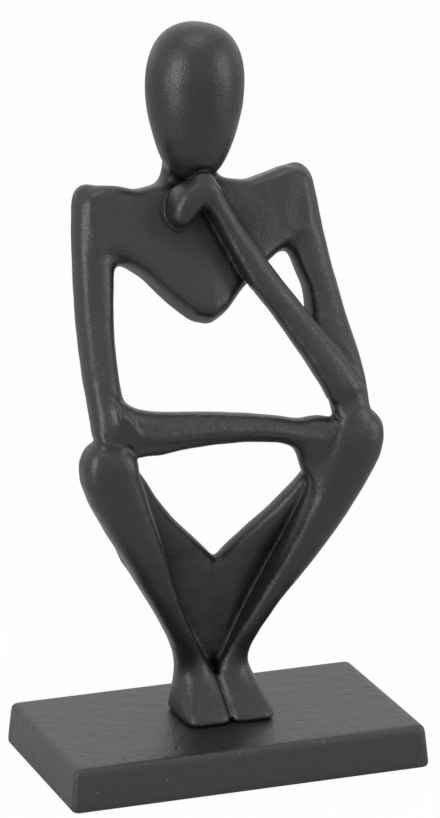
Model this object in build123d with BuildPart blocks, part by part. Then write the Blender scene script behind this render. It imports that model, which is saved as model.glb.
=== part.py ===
"""A cast figurine of a sitting man on a rectangular plinth.

Origin at the middle of the footprint, on the surface that it stands on. X to the
figure's left, Y to its back, Z up. All lengths are in millimetres.
"""
from build123d import *
from math import copysign, cos, log, pi, sin, sqrt
import os

# Driving sizes of the figure
figure_height = 409.0
figure_half_width = 92.0
figure_half_depth = 60.0
arm_width = 19.6
arm_depth = 26.0
chest_thickness = 22.0
chest_edge_radius = 4.5
thigh_width = 92.0
thigh_shifts = {-1: 1.4, 1: 4.2}
hip_thickness = 19.5
knee_width = 34.8
knee_depth = 30.0
forearm_height = 24.4
forearm_depth = 20.0
raised_forearm_width = 26.0
raised_forearm_depth = 22.0
hand_width = 17.0
hand_depth = 24.0
hand_slope = (-0.6, -0.8)
head_width = 57.2
head_height = 92.5
head_setback = 34.2
chin_offset = 2.2
foot_length = 47.0
foot_width = 27.2
foot_shift = 3.0
ankle_height = 28.0
limb_squareness = 0.78
limb_sides = 16
head_sides = 32
ring_count = 20

# Driving sizes of the plinth
plinth_width = 220.0
plinth_depth = 126.2
plinth_height = 24.3
plinth_draft_angle = 6.0
plinth_corner_radius = 3.0
plinth_edge_radius = 1.6
plinth_wall = 5.0
plinth_top_thickness = 6.0
plinth_inner_radius = 4.0

# Driving sizes of the pads and of what fastens the feet
pad_radius = 7.0
pad_thickness = 2.5
pad_proud = 1.0
pad_inset = 15.0
pad_boss_wall = 2.0
screw_radius = 2.5
screw_length = 22.0
screw_head_radius = 5.2
screw_head_height = 3.2
screw_recess_width = 1.3
screw_recess_length = 5.6
screw_recess_depth = 1.8
screw_clearance = 0.3
thread_clearance = 0.05
bore_end_gap = 2.0
screw_boss_radius = 8.0
screw_boss_height = 5.0
screw_setback = 9.0

# Heights that follow from the sizes above
plinth_bottom = pad_proud
deck = plinth_bottom + plinth_height
crown = deck + figure_height

# Sections of the right and of the left arm from the elbow to the shoulder: place along X, Y and Z, then
# width and depth. The left arm widens where it runs into the raised forearm
arm_shares = {
    -1: [
        (0.788, -0.455, 0.436, 0.920, 0.750),
        (0.790, -0.425, 0.452, 1.080, 0.880),
        (0.797, -0.300, 0.489, 0.990, 0.970),
        (0.799, -0.140, 0.526, 0.960, 1.000),
        (0.779, 0.080, 0.570, 0.990, 1.000),
        (0.751, 0.270, 0.613, 1.060, 0.970),
        (0.716, 0.440, 0.662, 1.150, 0.930),
        (0.700, 0.580, 0.710, 1.080, 0.900),
        (0.690, 0.665, 0.745, 0.960, 0.870),
        (0.690, 0.695, 0.7610, 0.830, 0.740),
        (0.692, 0.712, 0.7705, 0.560, 0.500),
        (0.696, 0.718, 0.7750, 0.240, 0.230),
    ],
    1: [
        (0.795, -0.455, 0.436, 0.920, 0.750),
        (0.795, -0.425, 0.452, 1.100, 0.880),
        (0.788, -0.300, 0.489, 1.230, 0.970),
        (0.765, -0.140, 0.526, 1.400, 1.000),
        (0.752, 0.060, 0.566, 1.300, 1.000),
        (0.762, 0.170, 0.590, 1.060, 0.990),
        (0.762, 0.270, 0.613, 0.980, 0.970),
        (0.737, 0.370, 0.640, 1.080, 0.950),
        (0.716, 0.460, 0.667, 1.160, 0.930),
        (0.708, 0.580, 0.710, 1.050, 0.900),
        (0.703, 0.675, 0.750, 0.950, 0.870),
        (0.703, 0.705, 0.7665, 0.830, 0.740),
        (0.705, 0.722, 0.7760, 0.560, 0.500),
        (0.707, 0.728, 0.7805, 0.240, 0.230),
    ],
}

# Heights of the chest's lower and upper edge at places along X, and the lean that its plate follows
chest_shares = [
    (-0.730, 0.672, 0.7640), (-0.620, 0.676, 0.7725), (-0.510, 0.668, 0.7700), (-0.387, 0.6480, 0.7625),
    (-0.246, 0.6150, 0.7665), (-0.120, 0.5915, 0.7770), (-0.010, 0.5860, 0.7790), (0.090, 0.596, 0.7770),
    (0.220, 0.621, 0.7680), (0.360, 0.644, 0.7630), (0.500, 0.664, 0.7710), (0.620, 0.676, 0.7790),
    (0.740, 0.672, 0.7720),
]
chest_lean_shares = [
    (-0.460, 0.390), (-0.410, 0.465), (-0.215, 0.515), (0.090, 0.585), (0.335, 0.638),
    (0.530, 0.696), (0.690, 0.762), (0.860, 0.880),
]

# The chest's edge profile: 0 is its lower edge, 2 its upper edge, 1 the ends of both roundings; then the thickness
chest_profile_shares = [(0, 0.55), (0.70, 1), (1.30, 1), (2, 0.55)]

# Sections of the neck from inside the chest to inside the head, in the arm's order
neck_shares = [
    (0.000, 0.610, 0.725, 1.700, 0.700),
    (-0.015, 0.690, 0.762, 2.000, 0.780),
    (-0.018, 0.725, 0.783, 1.600, 0.800),
    (-0.018, 0.745, 0.806, 1.400, 0.780),
    (-0.010, 0.750, 0.840, 1.200, 0.700),
]

# Sections of a thigh from the ankle up to the knee, in the same order. Both run together below the seat
thigh_shares = [
    (0.040, 0.250, 0.050, 0.160, 0.700),
    (0.062, 0.240, 0.090, 0.250, 0.850),
    (0.106, 0.215, 0.140, 0.400, 0.950),
    (0.165, 0.180, 0.190, 0.550, 1.000),
    (0.230, 0.145, 0.220, 0.600, 1.000),
    (0.305, 0.110, 0.243, 0.590, 1.000),
    (0.404, 0.030, 0.274, 0.525, 1.000),
    (0.510, -0.075, 0.310, 0.420, 1.000),
    (0.618, -0.195, 0.350, 0.352, 1.000),
    (0.700, -0.290, 0.382, 0.335, 0.980),
    (0.760, -0.350, 0.410, 0.320, 0.850),
]

# Sections of a foot from the sole to the ankle: place beside the parting, along the foot and above the deck,
# share of the shift that it follows, then width, length and squareness
foot_shares = [
    (0.500, 0.020, 0.00, 1.00, 0.960, 0.940, 0.88),
    (0.500, 0.020, 0.10, 1.00, 1.030, 1.005, 0.90),
    (0.490, 0.055, 0.24, 0.97, 0.990, 0.930, 0.88),
    (0.470, 0.118, 0.44, 0.88, 0.945, 0.805, 0.84),
    (0.438, 0.185, 0.68, 0.60, 0.880, 0.670, 0.80),
    (0.405, 0.255, 1.00, 0.20, 0.765, 0.535, 0.77),
]

# Sections of the right and of the left leg from the ankle to the top of the knee, in the arm's order
leg_shares = {
    -1: [
        (0.160, 0.165, 0.093, 0.460, 0.840),
        (0.240, 0.065, 0.128, 0.430, 0.830),
        (0.348, -0.050, 0.174, 0.480, 0.835),
        (0.455, -0.165, 0.220, 0.600, 0.860),
        (0.554, -0.275, 0.267, 0.725, 0.900),
        (0.652, -0.358, 0.311, 0.850, 0.950),
        (0.742, -0.397, 0.355, 0.960, 0.990),
        (0.796, -0.415, 0.391, 1.000, 1.010),
        (0.809, -0.422, 0.417, 0.970, 0.985),
        (0.808, -0.422, 0.435, 0.820, 0.850),
        (0.805, -0.420, 0.448, 0.560, 0.610),
        (0.800, -0.418, 0.4545, 0.260, 0.310),
    ],
    1: [
        (0.154, 0.165, 0.093, 0.460, 0.840),
        (0.209, 0.065, 0.128, 0.420, 0.830),
        (0.309, -0.050, 0.174, 0.460, 0.835),
        (0.423, -0.165, 0.220, 0.580, 0.860),
        (0.529, -0.275, 0.267, 0.705, 0.900),
        (0.622, -0.358, 0.311, 0.830, 0.950),
        (0.713, -0.397, 0.355, 0.940, 0.990),
        (0.786, -0.415, 0.391, 1.000, 1.010),
        (0.812, -0.422, 0.417, 1.010, 1.000),
        (0.822, -0.422, 0.438, 0.940, 0.920),
        (0.822, -0.420, 0.452, 0.720, 0.700),
        (0.818, -0.418, 0.4605, 0.360, 0.360),
    ],
}

# Sections of the raised forearm from the elbow to the chin, in the same order
raised_forearm_shares = [
    (0.790, -0.415, 0.450, 0.780, 0.900),
    (0.757, -0.370, 0.4930, 1.000, 0.980),
    (0.655, -0.275, 0.533, 0.950, 1.000),
    (0.465, -0.100, 0.595, 0.800, 0.840),
    (0.335, 0.013, 0.636, 0.800, 0.940),
    (0.247, 0.108, 0.670, 0.700, 0.960),
    (0.142, 0.245, 0.714, 0.560, 1.020),
    (0.055, 0.325, 0.752, 0.490, 1.060),
    (0.000, 0.370, 0.778, 0.460, 1.080),
    (-0.030, 0.400, 0.797, 0.440, 1.080),
]

# Sections of the forearm on the lap from the right elbow to the left knee, then depth and height
lap_forearm_shares = [
    (-0.780, -0.445, 0.4680, 0.900, 1.440),
    (-0.700, -0.445, 0.4620, 0.950, 1.320),
    (-0.620, -0.445, 0.4570, 0.980, 1.160),
    (-0.500, -0.442, 0.4540, 1.000, 1.010),
    (-0.340, -0.435, 0.4545, 0.950, 0.870),
    (-0.130, -0.425, 0.4530, 0.900, 0.750),
    (0.090, -0.418, 0.4490, 0.850, 0.660),
    (0.300, -0.415, 0.4415, 0.830, 0.610),
    (0.480, -0.415, 0.4300, 0.830, 0.680),
    (0.600, -0.418, 0.4240, 0.880, 0.900),
    (0.760, -0.420, 0.4200, 0.900, 1.000),
]

# Sections of the bent hand from the wrist to the fingertips: place along X, Y and Z, then width and depth
hand_shares = [
    (0.045, 0.325, 0.7790, 0.700, 0.900),
    (-0.040, 0.325, 0.7745, 0.880, 0.960),
    (-0.112, 0.320, 0.7600, 1.000, 1.000),
    (-0.162, 0.318, 0.7430, 0.960, 0.970),
    (-0.193, 0.318, 0.7290, 0.720, 0.820),
    (-0.206, 0.318, 0.7220, 0.360, 0.500),
]

# The head's half outline from the chin to the crown, as shares of its half width and its height
head_outline_shares = [
    (0.000, 0.000), (0.400, 0.030), (0.705, 0.180), (0.965, 0.480), (1.000, 0.640), (0.810, 0.880), (0.000, 1.000),
]


# The corners of a closed section on a plane: an ellipse at squareness 0.71, squarer above it
def section_corners(plane, centre_x, centre_y, width, depth, squareness, sides):
    power = log(squareness) / log(sqrt(0.5))
    corners = []
    for count in range(sides):
        turn = 2 * pi * (count + 0.5) / sides
        across = copysign(abs(cos(turn)) ** power, cos(turn)) * width / 2
        along = copysign(abs(sin(turn)) ** power, sin(turn)) * depth / 2
        corners.append(plane.from_local_coords((centre_x + across, centre_y + along)))
    return corners


# A solid with flat faces through a row of sections that have equally many corners
def faceted_solid(sections):
    faces = [Face(Wire.make_polygon(sections[0])), Face(Wire.make_polygon(sections[-1]))]
    for lower, upper in zip(sections, sections[1:]):
        for here in range(len(lower)):
            faces.append(Face(Wire.make_polygon([lower[here - 1], lower[here], upper[here]])))
            faces.append(Face(Wire.make_polygon([lower[here - 1], upper[here], upper[here - 1]])))
    return Solid(Shell(faces))


# The sections of an upright limb, on level planes, mirrored to the figure's right when side is -1 and
# moved outward by a shift
def upright_sections(shares, full_width, full_depth, side=1, shift=0):
    sections = []
    for x_share, y_share, z_share, width, depth in shares:
        plane = Plane.XY.offset(deck + z_share * figure_height)
        corners = section_corners(
            plane, side * (x_share * figure_half_width + shift), y_share * figure_half_depth,
            width * full_width, depth * full_depth, limb_squareness, limb_sides,
        )
        sections.append(corners)
    return sections


# Plinth: a drafted casting, open below, with a boss for each screw and pad
screw_places = [(foot_shift + side * foot_width / 2, screw_setback) for side in (-1, 1)]
pad_spread_x = plinth_width - 2 * pad_inset
pad_spread_y = plinth_depth - 2 * pad_inset
pad_top = plinth_bottom - pad_proud + pad_thickness
boss_bottom = deck - plinth_top_thickness - screw_boss_height
with BuildPart() as plinth:
    with BuildSketch(Plane.XY.offset(plinth_bottom)):
        RectangleRounded(plinth_width, plinth_depth, plinth_corner_radius)
    extrude(amount=plinth_height, taper=plinth_draft_angle)
    fillet(plinth.faces().sort_by(Axis.Z)[-1].edges(), radius=plinth_edge_radius)
    with BuildSketch(Plane.XY.offset(plinth_bottom)):
        RectangleRounded(plinth_width - 2 * plinth_wall, plinth_depth - 2 * plinth_wall, plinth_inner_radius)
    extrude(amount=plinth_height - plinth_top_thickness, taper=plinth_draft_angle, mode=Mode.SUBTRACT)
    with BuildSketch(Plane.XY.offset(pad_top)):
        with GridLocations(pad_spread_x, pad_spread_y, 2, 2):
            Circle(pad_radius + pad_boss_wall)
    extrude(amount=deck - plinth_top_thickness - pad_top)
    with BuildSketch(Plane.XY.offset(boss_bottom)):
        with Locations(*screw_places):
            Circle(screw_boss_radius)
    extrude(amount=screw_boss_height)
    with BuildSketch(Plane.XY.offset(boss_bottom)):
        with Locations(*screw_places):
            Circle(screw_radius + screw_clearance)
    extrude(amount=screw_boss_height + plinth_top_thickness, mode=Mode.SUBTRACT)

# Pads: a round pad under each corner boss
with BuildPart() as plinth_pads:
    with BuildSketch(Plane.XY.offset(pad_top - pad_thickness)):
        with GridLocations(pad_spread_x, pad_spread_y, 2, 2):
            Circle(pad_radius)
    extrude(amount=pad_thickness)

# Screws: flat cheese heads with a cross recess, shanks up into the feet
with BuildPart() as foot_screws:
    with BuildSketch(Plane.XY.offset(boss_bottom)):
        with Locations(*screw_places):
            Circle(screw_radius)
    extrude(amount=screw_length)
    with BuildSketch(Plane.XY.offset(boss_bottom - screw_head_height)):
        with Locations(*screw_places):
            Circle(screw_head_radius)
    extrude(amount=screw_head_height)
    with BuildSketch(Plane.XY.offset(boss_bottom - screw_head_height)):
        with Locations(*screw_places):
            Rectangle(screw_recess_length, screw_recess_width)
            Rectangle(screw_recess_width, screw_recess_length)
    extrude(amount=screw_recess_depth, mode=Mode.SUBTRACT)


# The sections of a foot, from sole to ankle
def foot_sections(side):
    sections = []
    for beside, along, above, shift, width, length, squareness in foot_shares:
        plane = Plane.XY.offset(deck + above * ankle_height)
        centre_x = side * beside * foot_width + shift * foot_shift
        corners = section_corners(
            plane, centre_x, along * foot_length, width * foot_width, length * foot_length, squareness, limb_sides
        )
        sections.append(corners)
    return sections


# Legs: parted by a slightly slanted plane between the feet, with a blind bore up each sole
parting = Plane(origin=(foot_shift, 0, deck), z_dir=(ankle_height, 0, foot_shift))
bore_depth = boss_bottom + screw_length + bore_end_gap - deck
legs = []
for side, kept_side in [(-1, Keep.BOTTOM), (1, Keep.TOP)]:
    with BuildPart() as leg:
        add(faceted_solid(foot_sections(side) + upright_sections(leg_shares[side], knee_width, knee_depth, side)))
        split(bisect_by=parting, keep=kept_side)
        with BuildSketch(Plane.XY.offset(deck)):
            with Locations((foot_shift + side * foot_width / 2, screw_setback)):
                Circle(screw_radius + thread_clearance)
        extrude(amount=bore_depth, mode=Mode.SUBTRACT)
    legs.append(leg)
right_leg, left_leg = legs

# Hips: two thighs that run up from the ankles to the knees and together below the seat
with BuildPart() as hips:
    for side in (-1, 1):
        add(faceted_solid(upright_sections(thigh_shares, thigh_width, hip_thickness, side, thigh_shifts[side])))
    add(right_leg.part, mode=Mode.SUBTRACT)
    add(left_leg.part, mode=Mode.SUBTRACT)

# Head: a plain egg of rings along its outline, with the chin set over to the figure's right
head_base = Plane(
    origin=(-chin_offset, head_setback, crown - head_height),
    x_dir=(head_height, 0, -chin_offset), z_dir=(chin_offset, 0, head_height),
)
head_outline = Spline(*[(half * head_width / 2, height * head_height) for half, height in head_outline_shares])
head_rings = []
for count in range(ring_count + 1):
    edge = head_outline @ ((count + 0.5) / (ring_count + 1))
    head_rings.append(
        section_corners(head_base.offset(edge.Y), 0, 0, 2 * edge.X, 2 * edge.X, sqrt(0.5), head_sides)
    )
with BuildPart() as head:
    add(faceted_solid(head_rings))


# A place in the figure's side view from its two shares
def side_place(y_share, z_share):
    return (y_share * figure_half_depth, deck + z_share * figure_height)


# The chest's middle at a height, and the direction across its thickness, in its side view
def lean_at(z_share):
    step = 0
    while z_share > chest_lean_shares[step + 1][1]:
        step += 1
    lower = Vector(*side_place(*chest_lean_shares[step]))
    upper = Vector(*side_place(*chest_lean_shares[step + 1]))
    along = (upper - lower).normalized()
    height = deck + z_share * figure_height
    middle = lower + (upper - lower) * ((height - lower.Y) / (upper.Y - lower.Y))
    return middle, Vector(along.Y, -along.X)


# The corners of the chest's section in a plane across X: a leaning band of even thickness with rounded edges
def chest_section(x_share, bottom_share, top_share):
    low = bottom_share * figure_height
    high = top_share * figure_height
    front = []
    back = []
    for inward, thinning in chest_profile_shares:
        height = low + inward * chest_edge_radius
        if inward > 1:
            height = high - (2 - inward) * chest_edge_radius
        middle, across = lean_at(height / figure_height)
        front.append(middle - across * thinning * chest_thickness / 2)
        back.append(middle + across * thinning * chest_thickness / 2)
    plane = Plane.YZ.offset(x_share * figure_half_width)
    return [plane.from_local_coords((place.X, place.Y)) for place in [*front, *reversed(back)]]


chest_sections = [chest_section(*shares) for shares in chest_shares]

# Upper body: both arms from elbow to shoulder, the chest between them and the neck
with BuildPart() as upper_body:
    for side in (-1, 1):
        add(faceted_solid(upright_sections(arm_shares[side], arm_width, arm_depth, side)))
    add(faceted_solid(chest_sections))
    add(faceted_solid(upright_sections(neck_shares, arm_width, arm_depth)))
    add(right_leg.part, mode=Mode.SUBTRACT)
    add(left_leg.part, mode=Mode.SUBTRACT)
    add(head.part, mode=Mode.SUBTRACT)

# Right forearm: across the lap, from inside the right elbow to the left knee
lap_sections = []
for x_share, y_share, z_share, depth, height in lap_forearm_shares:
    corners = section_corners(
        Plane.YZ.offset(x_share * figure_half_width), y_share * figure_half_depth,
        deck + z_share * figure_height, depth * forearm_depth, height * forearm_height,
        limb_squareness, limb_sides,
    )
    lap_sections.append(corners)
with BuildPart() as right_forearm:
    add(faceted_solid(lap_sections))
    add(right_leg.part, mode=Mode.SUBTRACT)
    add(left_leg.part, mode=Mode.SUBTRACT)
    add(hips.part, mode=Mode.SUBTRACT)
    add(upper_body.part, mode=Mode.SUBTRACT)

# Left forearm: up from the left elbow to the chin, with the hand bent down over it
hand_sections = []
for x_share, y_share, z_share, width, depth in hand_shares:
    centre = (x_share * figure_half_width, y_share * figure_half_depth, deck + z_share * figure_height)
    plane = Plane(origin=centre, x_dir=(hand_slope[1], 0, -hand_slope[0]), z_dir=(hand_slope[0], 0, hand_slope[1]))
    hand_sections.append(
        section_corners(plane, 0, 0, width * hand_width, depth * hand_depth, limb_squareness, limb_sides)
    )
with BuildPart() as left_forearm:
    add(faceted_solid(upright_sections(raised_forearm_shares, raised_forearm_width, raised_forearm_depth)))
    add(faceted_solid(hand_sections))
    add(upper_body.part, mode=Mode.SUBTRACT)
    add(left_leg.part, mode=Mode.SUBTRACT)
    add(right_forearm.part, mode=Mode.SUBTRACT)
    add(head.part, mode=Mode.SUBTRACT)

os.makedirs("parts", exist_ok=True)
pieces = {
    "plinth": plinth, "plinth_pads": plinth_pads, "foot_screws": foot_screws,
    "right_leg": right_leg, "left_leg": left_leg, "hips": hips, "upper_body": upper_body,
    "right_forearm": right_forearm, "left_forearm": left_forearm, "head": head,
}
for name, piece in pieces.items():
    piece.part.label = name
    export_step(piece.part, "parts/" + name + ".step")
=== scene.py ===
"""Scene of a black cast figurine: a sitting man with an egg for a head, on a plinth.

All lengths are in metres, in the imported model's frame, unless a comment says otherwise.
"""
from math import cos, pi, radians, sin

import bpy
import numpy as np
import openvdb
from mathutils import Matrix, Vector


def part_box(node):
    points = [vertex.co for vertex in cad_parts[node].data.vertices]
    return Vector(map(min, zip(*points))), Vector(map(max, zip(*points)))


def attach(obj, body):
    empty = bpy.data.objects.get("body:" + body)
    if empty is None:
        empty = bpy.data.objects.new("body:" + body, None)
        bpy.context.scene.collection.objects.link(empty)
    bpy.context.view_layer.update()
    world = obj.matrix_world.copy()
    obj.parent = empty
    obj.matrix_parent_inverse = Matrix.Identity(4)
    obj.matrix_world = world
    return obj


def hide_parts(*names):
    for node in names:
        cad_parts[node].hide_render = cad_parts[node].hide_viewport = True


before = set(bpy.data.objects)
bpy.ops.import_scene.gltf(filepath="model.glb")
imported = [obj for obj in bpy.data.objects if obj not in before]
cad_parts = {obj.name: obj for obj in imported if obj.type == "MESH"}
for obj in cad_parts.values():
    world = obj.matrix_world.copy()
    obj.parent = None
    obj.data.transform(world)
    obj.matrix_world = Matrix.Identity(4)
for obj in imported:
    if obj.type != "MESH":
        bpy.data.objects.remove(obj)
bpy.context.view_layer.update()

# The photograph's frame, and where the camera's axis meets it, in pixels
IMAGE_WIDTH = 440
IMAGE_HEIGHT = 818
AXIS_PIXEL_X = 216.7
AXIS_PIXEL_Y = 412.0

# The camera: its viewing angle and distance, what it looks at, and its sensor and lens in millimetres
CAMERA_AZIMUTH = radians(-20.18)
CAMERA_ELEVATION = radians(16.64)
CAMERA_DISTANCE = 2.618
CAMERA_TARGET = Vector((0.0, 0.0, 0.2118))
SENSOR_SIZE = 36.0
LENS_LENGTH = 199.2

# The skins of the castings: the steps of their grids, and how far from a face distances are kept
FIGURE_STEP = 0.0011
PLINTH_STEP = 0.0009
KEPT_DISTANCE = 0.013

# Radii that hollow corners between two forms are rounded to: everywhere, and at the spots below
CORNER_RADIUS = 0.0016
SPOT_RADIUS = 0.0065

# How near the head and the body are where the hollow between them is filled
HEAD_BLEND = 0.006

# The gusset in the corner below the lap's forearm and beside the left knee
GUSSET_CENTER = (0.0520, -0.023, 0.188)
GUSSET_RADII = (0.0100, 0.0090, 0.0150)
GUSSET_BLEND = 0.010

# The dimple at the inner side of the right knee
DIMPLE_CENTER = (-0.0575, -0.028, 0.194)
DIMPLE_REACH = 0.008
DIMPLE_DEPTH = 0.0015

# Spots with rounder corners: place along X and Z, reach, and share of the larger radius
CORNER_SPOTS = [
    (-0.052, 0.278, 0.034, 1.0), (-0.022, 0.340, 0.022, 0.8), (0.040, 0.334, 0.020, 0.3),
    (0.048, 0.290, 0.016, 0.45), (0.035, 0.258, 0.014, 0.40), (-0.055, 0.222, 0.022, 0.8),
    (-0.050, 0.192, 0.014, 0.25), (0.052, 0.190, 0.020, 0.9), (0.000, 0.143, 0.014, 0.5),
]

# How far the edges of each part are softened, and how far its faces then move out again
LIMB_SPREAD = 0.0019
FOOT_SPREAD = 0.0042
HEAD_SPREAD = 0.0040
PLINTH_SPREAD = 0.0015
LIMB_REGAIN = 0.0004
FOOT_REGAIN = 0.0007
HEAD_REGAIN = 0.0005
PLINTH_REGAIN = 0.0008

# The middle height of the feet and ankles, and how far up and down they are softened more
FOOT_HEIGHT = 0.058
FOOT_REACH = 0.018

# Creases between two forms: their depth, their width, and how far from the forms they fade
CREASE_DEPTH = 0.0016
CREASE_WIDTH = 0.0026
CREASE_HEIGHT = 0.0050

# The two forms beside each crease, and its shares of the depth and of the width
CREASES = [
    ("right_leg", "left_leg", 1.0, 1.0), ("right_leg", "hips", 1.3, 1.6), ("left_leg", "hips", 1.3, 1.6),
    ("right_leg", "upper_body", 0.9, 1.0), ("right_leg", "right_forearm", 1.0, 1.0),
    ("left_leg", "right_forearm", 0.4, 1.0), ("left_forearm", "upper_body", 1.2, 1.0),
    ("left_forearm", "head", 1.0, 1.0),
]

# The low ridge along the front of the forearm on the lap
RIDGE_HEIGHT = 0.0024
RIDGE_WIDTH = 0.0030
RIDGE_REACH = 0.0040

# The thin undercut around the soles, just above the plinth's deck
UNDERCUT_DEPTH = 0.0012
UNDERCUT_HEIGHT = 0.0014
DECK_HEIGHT = 0.0253

# The soft swells of the cast faces
UNEVEN_DEPTH = 0.00006
UNEVEN_SPREAD = 0.0035
UNEVEN_SEED = 7

# How far around a place of the skin its openness counts
OPEN_REACH = 0.014

# The openness at which the painted shade in the hollows is deepest and where it ends, and the paint's
# specular level at each: a lower specular level stands in for the shade that falls in hollows
DEEPEST_SHADE_OPENNESS = 0.34
UNSHADED_OPENNESS = 0.58
SHADED_SPECULAR = 0.05
UNSHADED_SPECULAR = 0.54

# The paint's pebbly grain: how many grains a metre has, how finely they break up, and their relief
GRAIN_SCALE = 900
GRAIN_DETAIL = 3
GRAIN_STRENGTH = 0.55
GRAIN_HEIGHT = 0.0005

# The soft dents below the grain, in the same terms
DENT_SCALE = 110
DENT_DETAIL = 2
DENT_STRENGTH = 0.4
DENT_HEIGHT = 0.0012

# The sparse pits: how many a metre has, their radius as a share of their spacing, and their depth
PIT_SCALE = 75
PIT_RADIUS = 0.13
PIT_DEPTH = 0.0006

# The faint grain of the rubber and the zinc
FAINT_SCALE = 700
FAINT_STRENGTH = 0.2
FAINT_HEIGHT = 0.0002

# Colour and roughness of each material, and how strongly the pits show in each paint
# The figure and the plinth wear one black paint: the figure's colour is darker, as painted shade on its
# shaded faces, and the plinth's lighter, as painted light for the light its top catches
FIGURE_SHADED_COLOR = (0.011, 0.011, 0.012)
FIGURE_ROUGHNESS = 0.33
FIGURE_PITTING = 0.15
PLINTH_LIT_COLOR = (0.020, 0.020, 0.021)
PLINTH_ROUGHNESS = 0.36
PLINTH_PITTING = 1.0
RUBBER_COLOR = (0.03, 0.03, 0.03)
RUBBER_ROUGHNESS = 0.8
ZINC_COLOR = (0.55, 0.55, 0.57)
ZINC_ROUGHNESS = 0.35

# The floor, and how much of its look to the camera is plain white
FLOOR_SIZE = 12.0
FLOOR_COLOR = (0.88, 0.88, 0.88)
FLOOR_ROUGHNESS = 0.9
FLOOR_WHITENESS = 0.97

# Strength of the world's light
WORLD_LIGHT = 0.45

# Soft boxes: their distance, and the azimuth and elevation in degrees, width, height and power of each
BOX_DISTANCE = 1.6
SOFT_BOXES = {
    "left_box": (-68, 15, 0.35, 1.4, 12),
    "right_box": (56, 15, 0.35, 1.4, 7),
    "top_box": (10, 86, 0.9, 0.9, 5),
}

# The solids of the figure, which its skin replaces
CASTINGS = ["right_leg", "left_leg", "hips", "upper_body", "right_forearm", "left_forearm", "head"]


def grid_over(names, step):
    """The lowest corner and the counts of a grid over some CAD nodes."""
    low = np.min([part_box(name)[0] for name in names], axis=0) - KEPT_DISTANCE
    high = np.max([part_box(name)[1] for name in names], axis=0) + KEPT_DISTANCE
    return low, tuple(np.ceil((high - low) / step).astype(int))


def distances_to(points, faces, low, shape, step):
    """The signed distance to a closed mesh at each place of a grid, negative inside."""
    corners = "triangles" if faces.shape[1] == 3 else "quads"
    grid = openvdb.FloatGrid.createLevelSetFromPolygons(
        (points - low).astype(np.float32),
        transform=openvdb.createLinearTransform(voxelSize=step),
        halfWidth=KEPT_DISTANCE / step,
        **{corners: faces.astype(np.uint32)},
    )
    distances = np.empty(shape, np.float32)
    grid.copyToArray(distances)
    return distances


def solid_distances(name, low, shape, step):
    """The signed distance to a CAD node at each place of a grid."""
    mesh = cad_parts[name].data
    mesh.calc_loop_triangles()
    points = np.empty(len(mesh.vertices) * 3, np.float32)
    mesh.vertices.foreach_get("co", points)
    triangles = np.empty(len(mesh.loop_triangles) * 3, np.int32)
    mesh.loop_triangles.foreach_get("vertices", triangles)
    return distances_to(points.reshape(-1, 3), triangles.reshape(-1, 3), low, shape, step)


def surface(distances, low, step):
    """The points and the outward quads where a grid's distances are zero."""
    grid = openvdb.FloatGrid()
    grid.background = KEPT_DISTANCE
    grid.copyFromArray(distances)
    points, quads = grid.convertToQuads()
    return points * step + low, quads


def rounded(distances, radius):
    """The figure's form with its hollow corners rounded to a radius."""
    grown_points, grown_quads = surface(distances - radius, figure_low, FIGURE_STEP)
    return distances_to(grown_points, grown_quads, figure_low, figure_shape, FIGURE_STEP) + radius


def blended(first, second, reach):
    """Two forms as one, with the hollow between them filled where both are within reach."""
    share = np.clip(0.5 + (second - first) / (2 * reach), 0, 1)
    return second + (first - second) * share - reach * share * (1 - share)


def softened(values, spread, step):
    """Values with their sharp changes spread out."""
    for _ in range(round(2 * (spread / step) ** 2)):
        for axis in range(3):
            ahead = np.roll(values, 1, axis)
            behind = np.roll(values, -1, axis)
            values = (ahead + 2 * values + behind) / 4
    return values


def crease(first, second, depth, width):
    """How far the skin sinks along the line where two forms meet."""
    return depth * np.exp(-(((first - second) / width) ** 2) - (first / CREASE_HEIGHT) ** 2)


def ridge(solid, height):
    """How far the skin rises along the middle of a limb's front."""
    inside = solid < 0
    cells = np.maximum(inside.sum(axis=(1, 2), keepdims=True), 1)
    middle_y = (inside * places(1)).sum(axis=(1, 2), keepdims=True) / cells
    middle_z = (inside * places(2)).sum(axis=(1, 2), keepdims=True) / cells
    rise = height * np.exp(-(((places(2) - middle_z) / RIDGE_WIDTH) ** 2) - (solid / RIDGE_REACH) ** 2)
    return rise * (places(1) < middle_y)


def unevenness(shape, step):
    """Soft random swells over a grid, of the depth that the cast faces show."""
    noise = np.random.default_rng(UNEVEN_SEED).normal(size=shape).astype(np.float32)
    swells = softened(noise, UNEVEN_SPREAD, step)
    return swells * (UNEVEN_DEPTH / swells.std())


def openness(distances, step):
    """The share of open air around each place of a grid."""
    spectrum = np.fft.rfftn(distances > 0)
    for axis, count in enumerate(distances.shape):
        waves = np.fft.rfftfreq(count, step) if axis == 2 else np.fft.fftfreq(count, step)
        spectrum *= np.exp(-2 * (pi * OPEN_REACH * waves.reshape(np.roll((-1, 1, 1), axis))) ** 2)
    return np.fft.irfftn(spectrum, distances.shape)


def places(axis):
    """Where the figure's grid planes are along an axis, shaped to go with its distances."""
    shape = [1, 1, 1]
    shape[axis] = -1
    return (figure_low[axis] + FIGURE_STEP * np.arange(figure_shape[axis])).reshape(shape).astype(np.float32)


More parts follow.
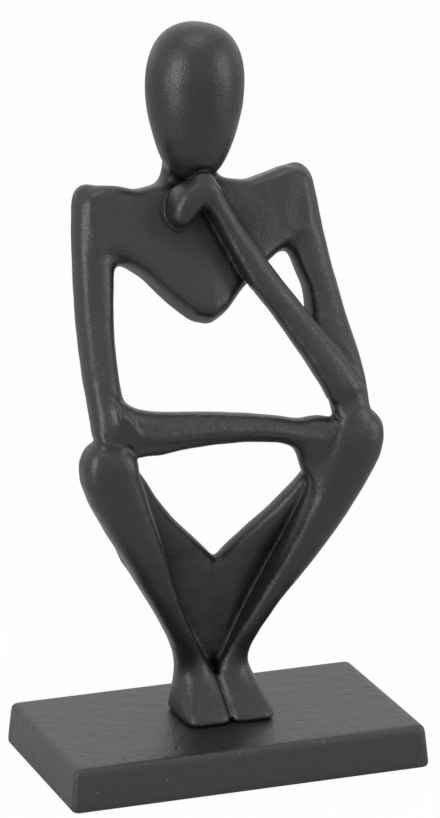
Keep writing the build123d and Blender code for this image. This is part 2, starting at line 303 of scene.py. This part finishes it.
# The skin of the whole figure
figure_low, figure_shape = grid_over(CASTINGS, FIGURE_STEP)
solids = {name: solid_distances(name, figure_low, figure_shape, FIGURE_STEP) for name in CASTINGS}
gusset = np.sqrt(sum(((places(axis) - GUSSET_CENTER[axis]) / GUSSET_RADII[axis]) ** 2 for axis in range(3)))
gusset = (gusset - 1) * min(GUSSET_RADII)
whole = np.min([solids[name] for name in CASTINGS if name != "head"], axis=0)
larger_share = np.max([
    share * np.exp(-((places(0) - x) ** 2 + (places(2) - z) ** 2) / size**2)
    for x, z, size, share in CORNER_SPOTS
], axis=0)
body = rounded(whole, CORNER_RADIUS) * (1 - larger_share) + rounded(whole, SPOT_RADIUS) * larger_share
body = blended(body, gusset, GUSSET_BLEND)
foot_share = np.exp(-(((places(2) - FOOT_HEIGHT) / FOOT_REACH) ** 2))
limbs = softened(body, LIMB_SPREAD, FIGURE_STEP) - LIMB_REGAIN
feet = softened(body, FOOT_SPREAD, FIGURE_STEP) - FOOT_REGAIN
figure_skin = blended(
    limbs * (1 - foot_share) + feet * foot_share,
    softened(solids["head"], HEAD_SPREAD, FIGURE_STEP) - HEAD_REGAIN,
    HEAD_BLEND,
)
for first, second, depth_share, width_share in CREASES:
    depth = CREASE_DEPTH * depth_share
    width = CREASE_WIDTH * width_share
    figure_skin += crease(solids[first], solids[second], depth, width)
dimple = np.sqrt(sum((places(axis) - DIMPLE_CENTER[axis]) ** 2 for axis in range(3)))
figure_skin += DIMPLE_DEPTH * np.exp(-((dimple / DIMPLE_REACH) ** 2))
figure_skin -= ridge(solids["right_forearm"], RIDGE_HEIGHT)
figure_skin += UNDERCUT_DEPTH * np.exp(-(((places(2) - DECK_HEIGHT) / UNDERCUT_HEIGHT) ** 2))
figure_skin += unevenness(figure_shape, FIGURE_STEP)

# The skin of the plinth
plinth_low, plinth_shape = grid_over(["plinth"], PLINTH_STEP)
plinth_skin = solid_distances("plinth", plinth_low, plinth_shape, PLINTH_STEP)
plinth_skin = softened(plinth_skin, PLINTH_SPREAD, PLINTH_STEP) - PLINTH_REGAIN


def skin_piece(name, points, quads):
    """An object of smooth shaded faces."""
    mesh = bpy.data.meshes.new(name)
    mesh.from_pydata(points.tolist(), [], quads.tolist())
    mesh.shade_smooth()
    piece = bpy.data.objects.new(name, mesh)
    bpy.context.scene.collection.objects.link(piece)
    return piece


def mark_openness(piece, distances, low, step):
    """Store the openness around each point of a skin, for the painted shade in its hollows."""
    points = np.empty(len(piece.data.vertices) * 3, np.float32)
    piece.data.vertices.foreach_get("co", points)
    cells = np.rint((points.reshape(-1, 3) - low) / step).astype(int)
    values = openness(distances, step)[tuple(cells.T)]
    stored = piece.data.attributes.new("openness", "FLOAT", "POINT")
    stored.data.foreach_set("value", values.astype(np.float32))


def new_material(name):
    """An empty node material with its output and shader."""
    material = bpy.data.materials.new(name)
    material.use_nodes = True
    nodes = material.node_tree.nodes
    return material, nodes, material.node_tree.links, nodes["Principled BSDF"]


def add_bump(nodes, links, height, strength, distance, below=None):
    """A bump from a height socket, over the relief below it."""
    bump = nodes.new("ShaderNodeBump")
    bump.inputs["Strength"].default_value = strength
    bump.inputs["Distance"].default_value = distance
    links.new(height, bump.inputs["Height"])
    if below:
        links.new(below, bump.inputs["Normal"])
    return bump.outputs["Normal"]


def add_noise(nodes, links, place, scale, detail):
    """The value of a soft noise over the object's own coordinates."""
    noise = nodes.new("ShaderNodeTexNoise")
    noise.inputs["Scale"].default_value = scale
    noise.inputs["Detail"].default_value = detail
    links.new(place, noise.inputs["Vector"])
    return noise.outputs["Fac"]


def cast_paint(name, color, roughness, pitting):
    """Satin black paint on a sand casting: a fine pebbly grain over soft dents and sparse pits, with painted
    shade in the hollows, where its specular level drops.
    """
    material, nodes, links, shader = new_material(name)
    shader.inputs["Base Color"].default_value = (*color, 1)
    shader.inputs["Roughness"].default_value = roughness
    open_air = nodes.new("ShaderNodeAttribute")
    open_air.attribute_name = "openness"
    # Painted shade: the specular level drops where the skin is less open, which darkens hollows and creases
    hollow_shade = nodes.new("ShaderNodeMapRange")
    hollow_shade.inputs["From Min"].default_value = DEEPEST_SHADE_OPENNESS
    hollow_shade.inputs["From Max"].default_value = UNSHADED_OPENNESS
    hollow_shade.inputs["To Min"].default_value = SHADED_SPECULAR
    hollow_shade.inputs["To Max"].default_value = UNSHADED_SPECULAR
    links.new(open_air.outputs["Fac"], hollow_shade.inputs["Value"])
    links.new(hollow_shade.outputs["Result"], shader.inputs["Specular IOR Level"])
    place = nodes.new("ShaderNodeTexCoord").outputs["Object"]
    grain = add_noise(nodes, links, place, GRAIN_SCALE, GRAIN_DETAIL)
    dents = add_noise(nodes, links, place, DENT_SCALE, DENT_DETAIL)
    spots = nodes.new("ShaderNodeTexVoronoi")
    spots.inputs["Scale"].default_value = PIT_SCALE
    links.new(place, spots.inputs["Vector"])
    pits = nodes.new("ShaderNodeMapRange")
    pits.inputs["From Max"].default_value = PIT_RADIUS
    links.new(spots.outputs["Distance"], pits.inputs["Value"])
    relief = add_bump(nodes, links, pits.outputs["Result"], pitting, PIT_DEPTH)
    relief = add_bump(nodes, links, dents, DENT_STRENGTH, DENT_HEIGHT, relief)
    relief = add_bump(nodes, links, grain, GRAIN_STRENGTH, GRAIN_HEIGHT, relief)
    links.new(relief, shader.inputs["Normal"])
    return material


def plain_material(name, color, metallic, roughness):
    """A material of one colour with a faint grain."""
    material, nodes, links, shader = new_material(name)
    shader.inputs["Base Color"].default_value = (*color, 1)
    shader.inputs["Metallic"].default_value = metallic
    shader.inputs["Roughness"].default_value = roughness
    grain = nodes.new("ShaderNodeTexNoise")
    grain.inputs["Scale"].default_value = FAINT_SCALE
    relief = add_bump(nodes, links, grain.outputs["Fac"], FAINT_STRENGTH, FAINT_HEIGHT)
    links.new(relief, shader.inputs["Normal"])
    return material


# Materials
figure_paint = cast_paint("figure_paint", FIGURE_SHADED_COLOR, FIGURE_ROUGHNESS, FIGURE_PITTING)
plinth_paint = cast_paint("plinth_paint", PLINTH_LIT_COLOR, PLINTH_ROUGHNESS, PLINTH_PITTING)
rubber = plain_material("rubber", RUBBER_COLOR, 0, RUBBER_ROUGHNESS)
zinc = plain_material("zinc_plate", ZINC_COLOR, 1, ZINC_ROUGHNESS)

# The figure, in the place of its seven solids
figure = skin_piece("figure_skin", *surface(figure_skin, figure_low, FIGURE_STEP))
figure.data.materials.append(figure_paint)
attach(figure, "root")
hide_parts(*CASTINGS)
mark_openness(figure, figure_skin, figure_low, FIGURE_STEP)

# The plinth, in the place of its solid
base = skin_piece("plinth_skin", *surface(plinth_skin, plinth_low, PLINTH_STEP))
base.data.materials.append(plinth_paint)
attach(base, "root")
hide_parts("plinth")
mark_openness(base, plinth_skin, plinth_low, PLINTH_STEP)

# The pads and screws keep their solids
for name, material in {"plinth_pads": rubber, "foot_screws": zinc}.items():
    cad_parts[name].data.materials.clear()
    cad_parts[name].data.materials.append(material)

# Floor: pale, near white to the camera, with the figurine's shadow
floor_mesh = bpy.data.meshes.new("floor")
half = FLOOR_SIZE / 2
floor_corners = [(-half, -half, 0), (half, -half, 0), (half, half, 0), (-half, half, 0)]
floor_mesh.from_pydata(floor_corners, [], [(0, 1, 2, 3)])
floor = bpy.data.objects.new("floor", floor_mesh)
bpy.context.scene.collection.objects.link(floor)
floor_material, nodes, links, shader = new_material("floor")
shader.inputs["Base Color"].default_value = (*FLOOR_COLOR, 1)
shader.inputs["Roughness"].default_value = FLOOR_ROUGHNESS
white = nodes.new("ShaderNodeEmission")
mix = nodes.new("ShaderNodeMixShader")
light_path = nodes.new("ShaderNodeLightPath")
share = nodes.new("ShaderNodeMath")
share.operation = "MULTIPLY"
share.inputs[1].default_value = FLOOR_WHITENESS
links.new(light_path.outputs["Is Camera Ray"], share.inputs[0])
links.new(share.outputs["Value"], mix.inputs["Fac"])
links.new(shader.outputs["BSDF"], mix.inputs[1])
links.new(white.outputs["Emission"], mix.inputs[2])
links.new(mix.outputs["Shader"], nodes["Material Output"].inputs["Surface"])
floor_mesh.materials.append(floor_material)

# World: white to the camera and in reflections, a soft light on everything else
world = bpy.data.worlds.new("studio")
bpy.context.scene.world = world
world.use_nodes = True
nodes = world.node_tree.nodes
links = world.node_tree.links
nodes["Background"].inputs["Color"].default_value = (1, 1, 1, 1)
nodes["Background"].inputs["Strength"].default_value = WORLD_LIGHT
seen = nodes.new("ShaderNodeBackground")
seen.inputs["Color"].default_value = (1, 1, 1, 1)
mix = nodes.new("ShaderNodeMixShader")
light_path = nodes.new("ShaderNodeLightPath")
seen_rays = light_path.outputs["Is Camera Ray"]
for kind in ("Is Glossy Ray", "Is Transmission Ray"):
    either = nodes.new("ShaderNodeMath")
    either.operation = "MAXIMUM"
    links.new(seen_rays, either.inputs[0])
    links.new(light_path.outputs[kind], either.inputs[1])
    seen_rays = either.outputs["Value"]
links.new(seen_rays, mix.inputs["Fac"])
links.new(nodes["Background"].outputs["Background"], mix.inputs[1])
links.new(seen.outputs["Background"], mix.inputs[2])
links.new(mix.outputs["Shader"], nodes["World Output"].inputs["Surface"])


def direction(azimuth, elevation):
    """The way from the figurine towards an azimuth and elevation in radians."""
    return Vector((sin(azimuth) * cos(elevation), -cos(azimuth) * cos(elevation), sin(elevation)))


def aim(thing, towards, distance):
    """Put a light or the camera at a distance from the figurine, looking back at it."""
    thing.location = CAMERA_TARGET + towards * distance
    thing.rotation_euler = towards.to_track_quat("Z", "Y").to_euler()
    bpy.context.scene.collection.objects.link(thing)


# Soft boxes
for name, (azimuth, elevation, width, height, power) in SOFT_BOXES.items():
    light = bpy.data.lights.new(name, "AREA")
    light.shape = "RECTANGLE"
    light.size = width
    light.size_y = height
    light.energy = power
    lamp = bpy.data.objects.new(name, light)
    aim(lamp, direction(radians(azimuth), radians(elevation)), BOX_DISTANCE)

# Camera
camera_data = bpy.data.cameras.new("camera")
camera_data.sensor_width = SENSOR_SIZE
camera_data.lens = LENS_LENGTH
camera_data.shift_x = (IMAGE_WIDTH / 2 - AXIS_PIXEL_X) / IMAGE_HEIGHT
camera_data.shift_y = (AXIS_PIXEL_Y - IMAGE_HEIGHT / 2) / IMAGE_HEIGHT
camera = bpy.data.objects.new("camera", camera_data)
aim(camera, direction(CAMERA_AZIMUTH, CAMERA_ELEVATION), CAMERA_DISTANCE)
bpy.context.scene.camera = camera
bpy.context.scene.view_settings.view_transform = "Standard"
